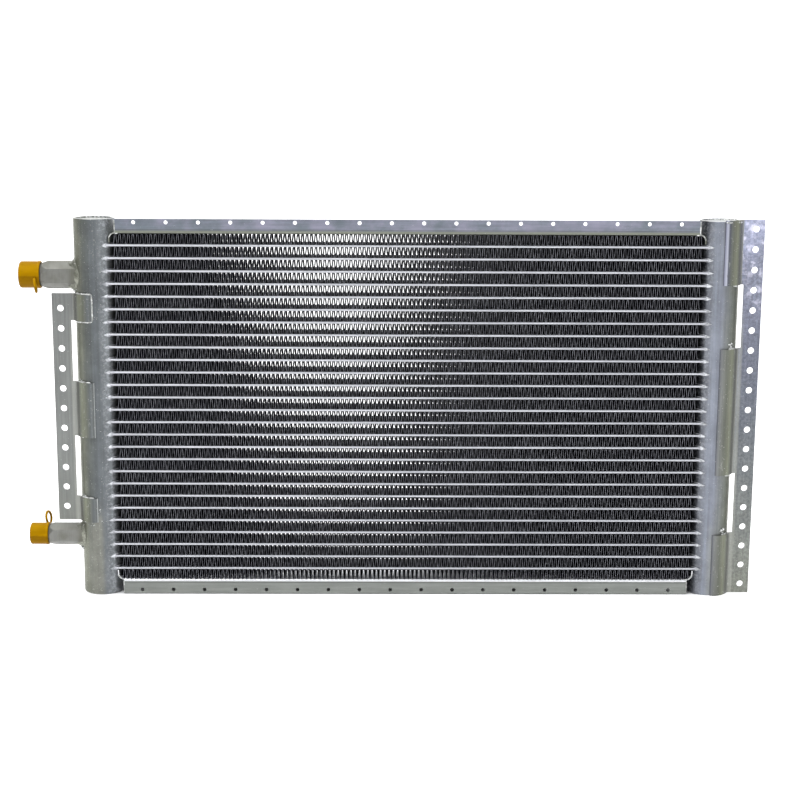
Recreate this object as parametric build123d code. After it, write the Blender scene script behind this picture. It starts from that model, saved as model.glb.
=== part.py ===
from build123d import *
import math
import os

os.makedirs("parts", exist_ok=True)

# Air-cooled oil cooler: flat multi-channel tubes and corrugated fins brazed between two round headers.
# Millimetres. X runs along the tubes, Z up, the front faces -Y. The origin is the centre of the
# core in X and Z, on the front face of the two perforated mounting flanges (Y = 0).

# Core
TUBE_COUNT = 27
TUBE_PITCH = 10.0
TUBE_THICKNESS = 2.0
CORE_DEPTH = 25.0
CHANNEL_COUNT = 10
CHANNEL_WIDTH = 2.0
CHANNEL_HEIGHT = 1.2
CHANNEL_PITCH = 2.35
TUBES_PER_PASS = (10, 7, 5, 5)

# Fins: one corrugated strip above every tube and one below the last. The waves are twice as wide
# as the real ones, at the real weight of sheet.
FIN_SPAN = 457.4
FIN_WAVES = 66
FIN_SHEET_RISE = 0.45

# Headers
HEADER_RADIUS = 16.0
HEADER_WALL = 2.0
HEADER_TOP = 150.5
HEADER_BOTTOM = -151.5
HEADER_X = 244.9
AXIS_Y = 7.0
TUBE_END_TO_AXIS = 4.0
TOP_EDGE_RADIUS = 0.9
BOTTOM_EDGE_RADIUS = 1.8
BRAZE_GAP = 0.05

# Pressed end caps and baffles inside the headers
END_CAP_DEPTH = 7.0
END_CAP_WALL = 1.5
TOP_CAP_RECESS = 1.2
BAFFLE_THICKNESS = 1.5

# Side plates: channels whose legs point away from the core. Leg and hole heights are counted from
# the middle of the outermost tube.
PLATE_SHEET = 1.2
PLATE_BEND = 1.8
PLATE_HALF_LENGTH = 227.5
TOP_FRONT_LEG = 20.6
TOP_BACK_LEG = 13.2
TOP_HOLE_REACH = 17.9
BOTTOM_FRONT_LEG = 21.0
BOTTOM_BACK_LEG = 20.5
BOTTOM_HOLE_REACH = 17.9
PLATE_HOLE_RADIUS = 1.5
PLATE_HOLE_COUNT = 18
PLATE_HOLE_PITCH = 25.0
CURL_START = 0.6
CURL_RADIUS = 4.6
CURL_TIP_GAP = 1.2
HEADER_CLEARANCE = 0.5

# Perforated mounting brackets
BRACKET_SHEET = 2.0
BRACKET_EDGE_X = 278.6
BRACKET_HOLE_X = 272.0
BRACKET_HOLE_RADIUS = 2.6
BRACKET_HOLE_PITCH = 16.0
BRACKET_FLANGE_INNER_X = 264.0
SADDLE_LIP_ANGLE = 3.0
SADDLE_LIP_EDGE = 0.4
SADDLE_FULL_ANGLE = 12.5
SADDLE_BEND = 3.0
RIGHT_BRACKET_TOP = 151.2
RIGHT_BRACKET_TABS = (50.6, 50.4, 101.8, 49.2, 50.4)
RIGHT_BRACKET_HOLES = 19
LEFT_BRACKET_TOP = 91.8
LEFT_BRACKET_TABS = (21.2, 48.6, 44.0, 49.4, 19.6)
LEFT_BRACKET_HOLES = 11

# Ports on the left header: hexagon, thread and bore sizes in one table per port
HEX_TURN = 30.0
HEX_CHAMFER = 0.4
NOSE_CHAMFER = 0.5
NOSE_SHARE = 0.75
THREAD_PITCH = 1.5
THREAD_DEPTH = 0.9
RELIEF_LENGTH = 1.6
SPIGOT_DEPTH = 5.0
UPPER_PORT = dict(
    z=105.6, hex_flats=19.0, hex_length=26.1, thread_radius=9.0, threads=5, bore_radius=5.0,
    groove_radius=6.65, ring_radius=7.7, ring_section=1.0, nose_radius=8.2, stub=14.6,
    cap_radius=10.7, cap_length=16.4, loop_angle=-26.0, loop_twist=4.0, loop_lean=11.0,
)
LOWER_PORT = dict(
    z=-104.6, hex_flats=16.0, hex_length=27.1, thread_radius=7.0, threads=4, bore_radius=3.75,
    groove_radius=5.0, ring_radius=5.95, ring_section=0.9, nose_radius=6.3, stub=12.4,
    cap_radius=8.95, cap_length=14.7, loop_angle=130.0, loop_twist=-13.5, loop_lean=0.0,
)
GROOVE_WIDTH = 2.2
CAP_CLEARANCE = 0.1
CAP_FACE_GAP = 0.3
CAP_END_WALL = 1.5
CAP_EDGE_RADIUS = 1.6
LOOP_RADIUS = 5.0
LOOP_WIRE = 1.0
LOOP_BITE = 0.8

TOP_TUBE_Z = TUBE_PITCH * (TUBE_COUNT - 1) / 2
FIN_HEIGHT = TUBE_PITCH - TUBE_THICKNESS
HEADER_INNER = HEADER_RADIUS - HEADER_WALL


def save(shape, node):
    """Write one node's STEP file."""
    export_step(shape, f"parts/{node}.step")


def tube_z(number):
    """Height of a tube's middle; tube 1 is the top one."""
    return TOP_TUBE_Z - (number - 1) * TUBE_PITCH


def upright(radius, bottom, top, x=0.0, y=AXIS_Y):
    """A vertical round bar between two heights."""
    return Pos(x, y, (bottom + top) / 2) * Cylinder(radius, top - bottom)


def flat_tube():
    """One multi-channel tube, centred on the header axis plane."""
    length = 2 * (HEADER_X - TUBE_END_TO_AXIS)
    section = SlotOverall(CORE_DEPTH, TUBE_THICKNESS)
    first = -CHANNEL_PITCH * (CHANNEL_COUNT - 1) / 2
    for index in range(CHANNEL_COUNT):
        section -= Pos(first + index * CHANNEL_PITCH, 0) * Rectangle(CHANNEL_WIDTH, CHANNEL_HEIGHT)
    bar = extrude(Plane.YZ * section, length / 2, both=True)
    return Pos(0, AXIS_Y, 0) * bar


def fin_strip():
    """One corrugated strip, FIN_HEIGHT tall, standing on Z = 0."""
    half_wave = FIN_SPAN / FIN_WAVES / 2
    steps = range(2 * FIN_WAVES + 1)
    crest = FIN_HEIGHT - FIN_SHEET_RISE
    lower = [(-FIN_SPAN / 2 + half_wave * step, crest * (step % 2)) for step in steps]
    upper = [(x, z + FIN_SHEET_RISE) for x, z in reversed(lower)]
    outline = make_face(Polyline(*lower, *upper, close=True))
    strip = extrude(Plane.XZ * outline, CORE_DEPTH / 2, both=True)
    return Pos(0, AXIS_Y, 0) * strip


def header(side, port_sizes):
    """A header pipe with one slot for each tube and a hole for each port."""
    pipe = upright(HEADER_RADIUS, HEADER_BOTTOM, HEADER_TOP, -HEADER_X)
    pipe -= upright(HEADER_INNER, HEADER_BOTTOM, HEADER_TOP, -HEADER_X)
    rims = pipe.edges().filter_by(GeomType.CIRCLE).group_by(SortBy.RADIUS)[-1].sort_by(Axis.Z)
    pipe = fillet(rims[-1], TOP_EDGE_RADIUS)
    rims = pipe.edges().filter_by(GeomType.CIRCLE).group_by(SortBy.RADIUS)[-1].sort_by(Axis.Z)
    pipe = fillet(rims[0], BOTTOM_EDGE_RADIUS)
    slot_face = SlotOverall(CORE_DEPTH + 2 * BRAZE_GAP, TUBE_THICKNESS + 2 * BRAZE_GAP)
    slot = extrude(Plane.YZ * slot_face, HEADER_RADIUS / 2 + HEADER_WALL, both=True)
    inboard = HEADER_RADIUS / 2 - HEADER_X
    slots = [Pos(inboard, AXIS_Y, tube_z(number)) * slot for number in range(1, TUBE_COUNT + 1)]
    pipe -= slots
    for sizes in port_sizes:
        hole = Cylinder(spigot_radius(sizes) + BRAZE_GAP, HEADER_RADIUS)
        pipe -= Pos(-HEADER_X - HEADER_RADIUS, AXIS_Y, sizes["z"]) * Rot(0, 90, 0) * hole
    return pipe if side < 0 else mirror(pipe, Plane.YZ)


def end_cap(side, end):
    """A pressed cup that closes one end of a header; end is +1 for the top, -1 for the bottom."""
    outer = HEADER_INNER - BRAZE_GAP
    face = HEADER_TOP - TOP_CAP_RECESS if end > 0 else HEADER_BOTTOM
    rim = face - end * END_CAP_DEPTH
    floor = face - end * END_CAP_WALL
    x = side * HEADER_X
    cup = upright(outer, min(face, rim), max(face, rim), x)
    return cup - upright(outer - END_CAP_WALL, min(floor, rim), max(floor, rim), x)


def baffle(side, above_tube):
    """A disc that closes a header between two tubes, so that the oil turns back."""
    z = tube_z(above_tube) - TUBE_PITCH / 2
    radius = HEADER_INNER - BRAZE_GAP
    return upright(radius, z - BAFFLE_THICKNESS / 2, z + BAFFLE_THICKNESS / 2, side * HEADER_X)


def side_plate(front_leg, back_leg, hole_reach):
    """The top channel along the outer fin strip, with ends that curl towards the core."""
    web = TOP_TUBE_Z + TUBE_THICKNESS / 2 + FIN_HEIGHT
    reach = TOP_TUBE_Z + front_leg
    back_reach = TOP_TUBE_Z + back_leg
    depth = CORE_DEPTH / 2
    section = Pos(0, (web + reach) / 2) * Rectangle(2 * depth, reach - web)
    section = fillet(section.vertices().group_by(Axis.Y)[0], PLATE_BEND)
    hollow = Pos(0, (web + reach) / 2 + PLATE_SHEET)
    inside = hollow * Rectangle(2 * (depth - PLATE_SHEET), reach - web)
    inside = fillet(inside.vertices().group_by(Axis.Y)[0], PLATE_BEND - PLATE_SHEET)
    section -= inside
    section -= Pos(depth, (back_reach + reach) / 2) * Rectangle(depth, reach - back_reach)
    plate = extrude(Plane.YZ * section, PLATE_HALF_LENGTH, both=True)
    plate = Pos(0, AXIS_Y, 0) * plate
    first = -PLATE_HOLE_PITCH * (PLATE_HOLE_COUNT - 1) / 2
    drill = Rot(90, 0, 0) * Cylinder(PLATE_HOLE_RADIUS, depth)
    hole_z = TOP_TUBE_Z + hole_reach
    front = AXIS_Y - depth
    drills = [Pos(first + n * PLATE_HOLE_PITCH, front, hole_z) * drill for n in range(PLATE_HOLE_COUNT)]
    plate -= drills
    tip = TOP_TUBE_Z + TUBE_THICKNESS / 2 + CURL_TIP_GAP
    for side in (-1, 1):
        plate += curled_end(side, web, tip)
        plate -= upright(HEADER_RADIUS + HEADER_CLEARANCE, tip - 1, reach + 1, side * HEADER_X)
    return plate


def curled_end(side, web, tip):
    """The end of the web, bent round towards the core in front of the header."""
    start = PLATE_HALF_LENGTH - CURL_START
    outer = CURL_RADIUS + PLATE_SHEET
    centre_z = web - CURL_RADIUS
    with BuildSketch(Plane.XZ) as curl:
        with BuildLine():
            Polyline(
                (start - outer, web + PLATE_SHEET),
                (start - outer, web),
                (start, web),
            )
            CenterArc((start, centre_z), CURL_RADIUS, 0, 90)
            Polyline(
                (start + CURL_RADIUS, centre_z),
                (start + CURL_RADIUS, tip),
                (start + outer, tip),
                (start + outer, centre_z),
            )
            CenterArc((start, centre_z), outer, 0, 90)
            Line((start, web + PLATE_SHEET), (start - outer, web + PLATE_SHEET))
        make_face()
    bar = extrude(curl.sketch, (CORE_DEPTH - 2 * PLATE_BEND) / 2, both=True)
    bar = Pos(0, AXIS_Y, 0) * bar
    return bar if side > 0 else mirror(bar, Plane.YZ)


def bracket_section():
    """The right bracket's cross-section in X and Y; the tab's free edge is bevelled."""
    inner = HEADER_RADIUS + BRAZE_GAP
    outer = inner + BRACKET_SHEET
    bend_y = -SADDLE_BEND
    drop = bend_y - AXIS_Y
    bend_x = math.sqrt((outer + SADDLE_BEND) ** 2 - drop**2)
    meet = math.degrees(math.atan2(drop, bend_x))
    lip = -90 + SADDLE_LIP_ANGLE
    full = -90 + SADDLE_FULL_ANGLE
    centre = (HEADER_X, AXIS_Y)
    bend = (HEADER_X + bend_x, bend_y)

    def on(point, radius, angle):
        turn = math.radians(angle)
        return (point[0] + radius * math.cos(turn), point[1] + radius * math.sin(turn))

    with BuildSketch() as section:
        with BuildLine():
            CenterArc(centre, outer, full, meet - full)
            CenterArc(bend, SADDLE_BEND, 90, meet + 180 - 90)
            Polyline(
                (bend[0], 0),
                (BRACKET_EDGE_X, 0),
                (BRACKET_EDGE_X, BRACKET_SHEET),
                (bend[0], BRACKET_SHEET),
            )
            CenterArc(bend, SADDLE_BEND + BRACKET_SHEET, 90, meet + 180 - 90)
            CenterArc(centre, inner, lip, meet - lip)
            Polyline(
                on(centre, inner, lip),
                on(centre, inner + SADDLE_LIP_EDGE, lip),
                on(centre, outer, full),
            )
        make_face()
    return section.sketch


def bracket(side, top, tabs, hole_count):
    """A perforated flange whose tabs wrap the header; windows separate the tabs."""
    length = sum(tabs)
    body = Pos(0, 0, top - length) * extrude(bracket_section(), length)
    cut_width = BRACKET_FLANGE_INNER_X - HEADER_X
    for index, height in enumerate(tabs):
        if index % 2:
            window = Box(cut_width, 2 * HEADER_RADIUS, height)
            body -= Pos(HEADER_X + cut_width / 2, 0, top - height / 2) * window
        top -= height
    first = -BRACKET_HOLE_PITCH * (hole_count - 1) / 2
    drill = Rot(90, 0, 0) * Cylinder(BRACKET_HOLE_RADIUS, 4 * BRACKET_SHEET)
    body -= [Pos(BRACKET_HOLE_X, 0, first + n * BRACKET_HOLE_PITCH) * drill for n in range(hole_count)]
    return body if side > 0 else mirror(body, Plane.YZ)


def spigot_radius(sizes):
    """The plain round end of a port fitting, which sits in the header wall."""
    return sizes["bore_radius"] + HEADER_WALL


def port_plane(sizes, reach=0.0):
    """A plane across a port: X to the front, Y up, Z outwards from the header's side."""
    origin = (-HEADER_X - HEADER_RADIUS - reach, AXIS_Y, sizes["z"])
    return Plane(origin=origin, x_dir=(0, -1, 0), z_dir=(-1, 0, 0))


def stub_profile(sizes):
    """Half-section of the threaded stub: relief, thread, O-ring groove and nose."""
    crest = sizes["thread_radius"]
    root = crest - THREAD_DEPTH
    flat = THREAD_PITCH / 8
    points = [(0, -RELIEF_LENGTH), (root, -RELIEF_LENGTH), (root, RELIEF_LENGTH)]
    for turn in range(sizes["threads"]):
        base = RELIEF_LENGTH + turn * THREAD_PITCH
        middle = base + THREAD_PITCH / 2
        points += [(crest, middle - flat), (crest, middle + flat), (root, base + THREAD_PITCH)]
    land = RELIEF_LENGTH + sizes["threads"] * THREAD_PITCH
    groove_end = sizes["stub"] - (sizes["stub"] - land - GROOVE_WIDTH) * NOSE_SHARE
    groove_start = groove_end - GROOVE_WIDTH
    nose = sizes["nose_radius"]
    points += [
        (root, groove_start),
        (sizes["groove_radius"], groove_start),
        (sizes["groove_radius"], groove_end),
        (nose, groove_end),
        (nose, sizes["stub"] - NOSE_CHAMFER),
        (nose - NOSE_CHAMFER, sizes["stub"]),
        (0, sizes["stub"]),
    ]
    return points, (groove_start + groove_end) / 2


def port_fitting(sizes):
    """A hexagon boss welded to the header, with a spigot inside it and a male thread outside."""
    length = sizes["hex_length"]
    hexagon = RegularPolygon(sizes["hex_flats"] / 2, 6, major_radius=False, rotation=HEX_TURN)
    boss = extrude(port_plane(sizes) * hexagon, length)
    boss += extrude(port_plane(sizes) * hexagon, -HEADER_RADIUS / 2)
    corner = sizes["hex_flats"] / math.sqrt(3)
    lathe = port_plane(sizes) * Pos(0, 0, length - corner / 2)
    cone_top = sizes["hex_flats"] / 2 - HEX_CHAMFER
    turned = lathe * Cone(corner + (corner - cone_top), cone_top, corner)
    shank = port_plane(sizes) * Pos(0, 0, length / 2 - corner / 2) * Cylinder(corner + 1, length)
    boss &= turned + shank
    below = sizes["z"] - sizes["hex_flats"]
    above = sizes["z"] + sizes["hex_flats"]
    boss -= upright(HEADER_RADIUS + BRAZE_GAP, below, above, -HEADER_X)
    spigot = Pos(0, 0, -SPIGOT_DEPTH) * Cylinder(
        spigot_radius(sizes), SPIGOT_DEPTH + 2, align=(Align.CENTER, Align.CENTER, Align.MIN)
    )
    boss += port_plane(sizes) * spigot
    points, _ = stub_profile(sizes)
    stub = revolve(Plane.XZ * make_face(Polyline(*points, close=True)), Axis.Z)
    boss += port_plane(sizes, length) * stub
    bore = Cylinder(sizes["bore_radius"], 2 * (length + 4 * SPIGOT_DEPTH))
    return boss - port_plane(sizes) * bore


def o_ring(sizes):
    """The seal in the stub's groove."""
    _, middle = stub_profile(sizes)
    ring = Torus(sizes["ring_radius"], sizes["ring_section"])
    return port_plane(sizes, sizes["hex_length"] + middle) * ring


def port_cap(sizes):
    """A push-on plastic cap with a pull loop on its open rim."""
    radius = sizes["cap_radius"]
    length = sizes["cap_length"]
    cavity = sizes["thread_radius"] + CAP_CLEARANCE
    low = (Align.CENTER, Align.CENTER, Align.MIN)
    cap = Cylinder(radius, length, align=low)
    cap = fillet(cap.edges().group_by(Axis.Z)[-1], CAP_EDGE_RADIUS)
    centre = radius + LOOP_RADIUS + LOOP_WIRE - LOOP_BITE
    turn = Rot(sizes["loop_twist"], 0, 0) * Rot(0, sizes["loop_lean"], 0)
    loop = turn * Torus(LOOP_RADIUS, LOOP_WIRE)
    cap += Rot(0, 0, sizes["loop_angle"]) * Pos(centre, 0, 2 * LOOP_WIRE) * loop
    cap -= Cylinder(cavity, length - CAP_END_WALL, align=low)
    return port_plane(sizes, sizes["hex_length"] + CAP_FACE_GAP) * cap


save(header(-1, (UPPER_PORT, LOWER_PORT)), "left_header")
save(header(1, ()), "right_header")
for side_name, side_sign in (("left", -1), ("right", 1)):
    save(end_cap(side_sign, 1), f"{side_name}_header_top_cap")
    save(end_cap(side_sign, -1), f"{side_name}_header_bottom_cap")

first_turn, second_turn, third_turn = (sum(TUBES_PER_PASS[:passes]) for passes in (1, 2, 3))
save(baffle(-1, first_turn), "left_upper_baffle")
save(baffle(1, second_turn), "right_baffle")
save(baffle(-1, third_turn), "left_lower_baffle")

one_tube = flat_tube()
for tube_number in range(1, TUBE_COUNT + 1):
    save(Pos(0, 0, tube_z(tube_number)) * one_tube, f"tube_{tube_number:02d}")

one_strip = fin_strip()
strips = [Pos(0, 0, tube_z(number) + TUBE_THICKNESS / 2) * one_strip for number in range(1, TUBE_COUNT + 1)]
strips.append(Pos(0, 0, tube_z(TUBE_COUNT) - TUBE_THICKNESS / 2) * mirror(one_strip, Plane.XY))
for pass_number, tubes in enumerate(TUBES_PER_PASS, start=1):
    taken = sum(TUBES_PER_PASS[: pass_number - 1])
    last = taken + tubes + (1 if pass_number == len(TUBES_PER_PASS) else 0)
    save(Compound(strips[taken:last]), f"fins_pass_{pass_number}")

save(side_plate(TOP_FRONT_LEG, TOP_BACK_LEG, TOP_HOLE_REACH), "top_side_plate")
bottom_plate = side_plate(BOTTOM_FRONT_LEG, BOTTOM_BACK_LEG, BOTTOM_HOLE_REACH)
save(mirror(bottom_plate, Plane.XY), "bottom_side_plate")
save(bracket(-1, LEFT_BRACKET_TOP, LEFT_BRACKET_TABS, LEFT_BRACKET_HOLES), "left_bracket")
save(bracket(1, RIGHT_BRACKET_TOP, RIGHT_BRACKET_TABS, RIGHT_BRACKET_HOLES), "right_bracket")
for port_name, port_sizes in (("upper", UPPER_PORT), ("lower", LOWER_PORT)):
    save(port_fitting(port_sizes), f"{port_name}_port_fitting")
    save(o_ring(port_sizes), f"{port_name}_o_ring")
    save(port_cap(port_sizes), f"{port_name}_port_cap")
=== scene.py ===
import math
import random

import bpy
from mathutils import Euler, Matrix, Vector, noise


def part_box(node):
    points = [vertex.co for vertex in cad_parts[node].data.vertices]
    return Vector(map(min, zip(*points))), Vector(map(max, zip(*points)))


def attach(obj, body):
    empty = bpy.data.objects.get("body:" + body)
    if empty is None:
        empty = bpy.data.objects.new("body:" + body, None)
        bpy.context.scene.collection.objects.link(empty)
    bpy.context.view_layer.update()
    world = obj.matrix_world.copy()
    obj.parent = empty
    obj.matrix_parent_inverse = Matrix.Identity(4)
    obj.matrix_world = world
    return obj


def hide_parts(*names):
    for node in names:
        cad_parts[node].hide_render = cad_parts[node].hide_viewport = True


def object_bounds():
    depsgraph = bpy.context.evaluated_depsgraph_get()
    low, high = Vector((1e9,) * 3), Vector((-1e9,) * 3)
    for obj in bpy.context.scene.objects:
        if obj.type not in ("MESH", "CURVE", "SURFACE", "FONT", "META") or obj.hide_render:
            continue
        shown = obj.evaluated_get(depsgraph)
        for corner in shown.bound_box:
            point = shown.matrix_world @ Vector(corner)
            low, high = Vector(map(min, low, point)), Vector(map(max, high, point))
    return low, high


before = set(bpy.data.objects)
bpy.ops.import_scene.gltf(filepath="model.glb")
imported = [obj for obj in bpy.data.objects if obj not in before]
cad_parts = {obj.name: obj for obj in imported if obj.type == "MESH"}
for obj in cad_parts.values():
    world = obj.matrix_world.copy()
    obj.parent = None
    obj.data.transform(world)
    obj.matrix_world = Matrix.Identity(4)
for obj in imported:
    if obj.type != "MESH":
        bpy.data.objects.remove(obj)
cad_low, cad_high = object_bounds()

# An air-cooled oil cooler: flat tubes and corrugated fins between two round headers, two capped ports
# and a perforated bracket on each header. Metres, in the CAD frame: +X along the tubes, +Z up, front at -Y.

MM = 0.001
SEED = 20

# Camera
CAMERA_PLACE = (-0.0241, -1.2850, 0.2603)
CAMERA_PITCH = 11.33
CAMERA_YAW = 0.654
CAMERA_ROLL = 0.289
CAMERA_LENS = 74.24
CAMERA_SHIFT = (0.0064, 0.0072)

# Real fins: twice as many waves as the CAD strips, of thin sheet. The sheet runs a little skew through
# the core and bows to one side at the middle of its depth, so that only a part of the core, near the
# line of sight, can be seen through.
FIN_WAVES = 133
FIN_SHEET = 0.22 * MM
FIN_SKEW = -0.64 * MM
FIN_BOW = 0.8 * MM
FIN_CREST_STEPS = 3
FIN_CREST_SHARE = 0.34
FIN_CREST_FALL = 1.6
FIN_JITTER = 0.05

# Points round a full turn of a tube slot, a fillet or a cap
ROUND_STEPS = 72

# Braze that runs as a thin tongue from the front of each tube onto the headers
BRAZE_TONGUE = 2.3 * MM
BRAZE_TONGUE_LIFT = 0.3 * MM
BRAZE_TONGUE_SPREAD = 0.15 * MM

# The hollow fillet welds of the ports, as shares of their reach over the header and rise along the port
PORT_FILLET_REACH = 3.9 * MM
PORT_FILLET_RISE = 4.5 * MM
PORT_FILLET_CURVE = ((0.0, 1.0), (0.12, 0.72), (0.28, 0.42), (0.55, 0.18), (1.0, 0.0))

# The side plates' webs, counted from the outermost tubes, and their ends curled towards the core
PLATE_WEB_REACH = 9.0 * MM
PLATE_END = 227.2 * MM
PLATE_CURL_START = 226.9 * MM
PLATE_CURL = 4.6 * MM

# Ports and their caps
PORTS = {
    "upper": dict(z=105.6 * MM, flats=19.0 * MM, hex_length=26.1 * MM, cap_radius=10.7 * MM,
                  cap_length=16.4 * MM, cavity=9.1 * MM, loop_angle=-26.0, loop_twist=4.0,
                  loop_lean=11.0),
    "lower": dict(z=-104.6 * MM, flats=16.0 * MM, hex_length=27.1 * MM, cap_radius=8.95 * MM,
                  cap_length=14.7 * MM, cavity=7.1 * MM, loop_angle=130.0, loop_twist=-13.5,
                  loop_lean=0.0),
}
CAP_GAP = 0.3 * MM
CAP_EDGE = 1.6 * MM
CAP_WALL = 1.5 * MM
CAP_COLLAR = 2.4 * MM
LOOP_RADIUS = 5.0 * MM
LOOP_WIRE = 1.0 * MM
LOOP_BITE = 0.8 * MM

# Heights of the bracket tabs, as (top, bottom)
LEFT_TABS = ((91.8 * MM, 70.6 * MM), (22.0 * MM, -22.0 * MM), (-71.4 * MM, -91.0 * MM))
RIGHT_TABS = ((151.2 * MM, 100.6 * MM), (50.2 * MM, -51.6 * MM), (-100.8 * MM, -151.2 * MM))

# Studio floor
FLOOR_COLOUR = (0.9, 0.9, 0.9, 1.0)
FLOOR_GLOW = 0.45

# Measures that the frame gives
TUBES = sorted(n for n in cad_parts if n.startswith("tube_"))
TUBE_BOXES = [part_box(name) for name in TUBES]
TUBE_LEVELS = [(low.z + high.z) / 2 for low, high in TUBE_BOXES]
TUBE_HALF = (TUBE_BOXES[0][1].z - TUBE_BOXES[0][0].z) / 2
PITCH = TUBE_LEVELS[0] - TUBE_LEVELS[1]
CORE_FRONT = TUBE_BOXES[0][0].y
CORE_BACK = TUBE_BOXES[0][1].y
AXIS_Y = (CORE_FRONT + CORE_BACK) / 2
HEADER_LOW, HEADER_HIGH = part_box("right_header")
HEADER_RADIUS = (HEADER_HIGH.x - HEADER_LOW.x) / 2
HEADER_X = (HEADER_HIGH.x + HEADER_LOW.x) / 2


def srgb(red, green, blue):
    """A colour named by its 0-255 values, as the linear numbers a shader takes."""
    def linear(value):
        share = value / 255
        return share / 12.92 if share <= 0.04045 else ((share + 0.055) / 1.055) ** 2.4

    return (linear(red), linear(green), linear(blue), 1.0)


class Look:
    """A material being made: its Principled shader and the nodes that feed it."""

    def __init__(self, name, metallic, roughness):
        self.material = bpy.data.materials.new(name)
        self.material.use_nodes = True
        self.tree = self.material.node_tree
        self.shader = self.tree.nodes["Principled BSDF"]
        self.shader.inputs["Metallic"].default_value = metallic
        self.shader.inputs["Roughness"].default_value = roughness
        self.place = self.add("ShaderNodeTexCoord").outputs["Object"]

    def add(self, kind, **settings):
        made = self.tree.nodes.new(kind)
        for key, value in settings.items():
            setattr(made, key, value)
        return made

    def join(self, value, socket):
        """Link a socket, or set a plain value."""
        if isinstance(value, bpy.types.NodeSocket):
            self.tree.links.new(value, socket)
        else:
            socket.default_value = value

    def stretched(self, x, y, z):
        mapping = self.add("ShaderNodeMapping")
        mapping.inputs["Scale"].default_value = (x, y, z)
        self.join(self.place, mapping.inputs["Vector"])
        return mapping.outputs["Vector"]

    def noise(self, scale, detail=4.0, rough=0.55, vector=None, distortion=0.0):
        made = self.add("ShaderNodeTexNoise")
        self.join(vector or self.place, made.inputs["Vector"])
        made.inputs["Scale"].default_value = scale
        made.inputs["Detail"].default_value = detail
        made.inputs["Roughness"].default_value = rough
        made.inputs["Distortion"].default_value = distortion
        return made.outputs["Fac"]

    def ramp(self, value, stops):
        """A colour that changes smoothly through the stops, given as (place, colour)."""
        made = self.add("ShaderNodeValToRGB")
        self.join(value, made.inputs["Fac"])
        points = made.color_ramp.elements
        while len(points) < len(stops):
            points.new(1.0)
        for point, (place, colour) in zip(points, stops):
            point.position = place
            point.color = colour
        return made.outputs["Color"]

    def even(self, value, start, end):
        """0 to 1 as a value goes from start to end, changing evenly."""
        made = self.add("ShaderNodeMapRange")
        self.join(value, made.inputs["Value"])
        made.inputs["From Min"].default_value = start
        made.inputs["From Max"].default_value = end
        return made.outputs["Result"]

    def across(self, side, start, end):
        """0 to 1 between two distances from the middle of the cooler, on one side of it."""
        return self.even(self.math("MULTIPLY", self.axis("X"), side), start, end)

    def facing(self, letter):
        """How much the surface faces along an axis, -1 to 1."""
        split = self.add("ShaderNodeSeparateXYZ")
        self.join(self.add("ShaderNodeNewGeometry").outputs["Normal"], split.inputs["Vector"])
        return split.outputs[letter]

    def tinted(self, colour, value, share):
        """The colour, darkened and lightened a little by a noise value."""
        dark = self.band(value, 0.3, 0.7, 1.0 - share, 1.0 + share)
        made = self.add("ShaderNodeVectorMath", operation="SCALE")
        self.join(colour[:3] if isinstance(colour, tuple) else colour, made.inputs[0])
        self.join(dark, made.inputs["Scale"])
        return made.outputs["Vector"]

    def axis(self, letter):
        split = self.add("ShaderNodeSeparateXYZ")
        self.join(self.place, split.inputs["Vector"])
        return split.outputs[letter]

    def band(self, value, low, high, to_low=0.0, to_high=1.0):
        """value brought from low..high to to_low..to_high, with soft ends."""
        made = self.add("ShaderNodeMapRange", interpolation_type="SMOOTHSTEP")
        self.join(value, made.inputs["Value"])
        made.inputs["From Min"].default_value = low
        made.inputs["From Max"].default_value = high
        made.inputs["To Min"].default_value = to_low
        made.inputs["To Max"].default_value = to_high
        return made.outputs["Result"]

    def stripe(self, value, start, first, last, end):
        """1 from first to last, fading to 0 at start and end."""
        return self.math("MULTIPLY", self.band(value, start, first), self.band(value, end, last))

    def math(self, operation, a, b):
        made = self.add("ShaderNodeMath", operation=operation)
        self.join(a, made.inputs[0])
        self.join(b, made.inputs[1])
        return made.outputs["Value"]

    def blend(self, factor, a, b):
        made = self.add("ShaderNodeMix", data_type="RGBA")
        self.join(factor, made.inputs["Factor"])
        self.join(a, made.inputs[6])
        self.join(b, made.inputs[7])
        return made.outputs[2]

    def colour(self, value):
        self.join(value, self.shader.inputs["Base Color"])

    def roughness(self, value):
        self.join(value, self.shader.inputs["Roughness"])

    def bump(self, height, distance, strength=1.0, under=None):
        made = self.add("ShaderNodeBump")
        made.inputs["Strength"].default_value = strength
        made.inputs["Distance"].default_value = distance
        self.join(height, made.inputs["Height"])
        if under is not None:
            self.join(under, made.inputs["Normal"])
        self.join(made.outputs["Normal"], self.shader.inputs["Normal"])
        return made.outputs["Normal"]


# Materials


def pipe_tint(look, width, stops, foot):
    """Colours across a pipe, with a paler patch near its foot."""
    drift = look.noise(40, 3.0)
    place = look.math("ADD", width, look.band(drift, 0.2, 0.8, -0.04, 0.04))
    level = look.math("ADD", look.axis("Z"), look.band(drift, 0.2, 0.8, -0.02, 0.02))
    lower = look.band(level, -0.075, -0.11)
    lower = look.math("MULTIPLY", lower, look.band(width, 0.34, 0.5, 0.0, 0.7))
    lower = look.math("MULTIPLY", lower, look.band(width, 0.62, 0.86, 1.0, 0.1))
    return look.blend(lower, look.ramp(place, stops), foot)


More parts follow.
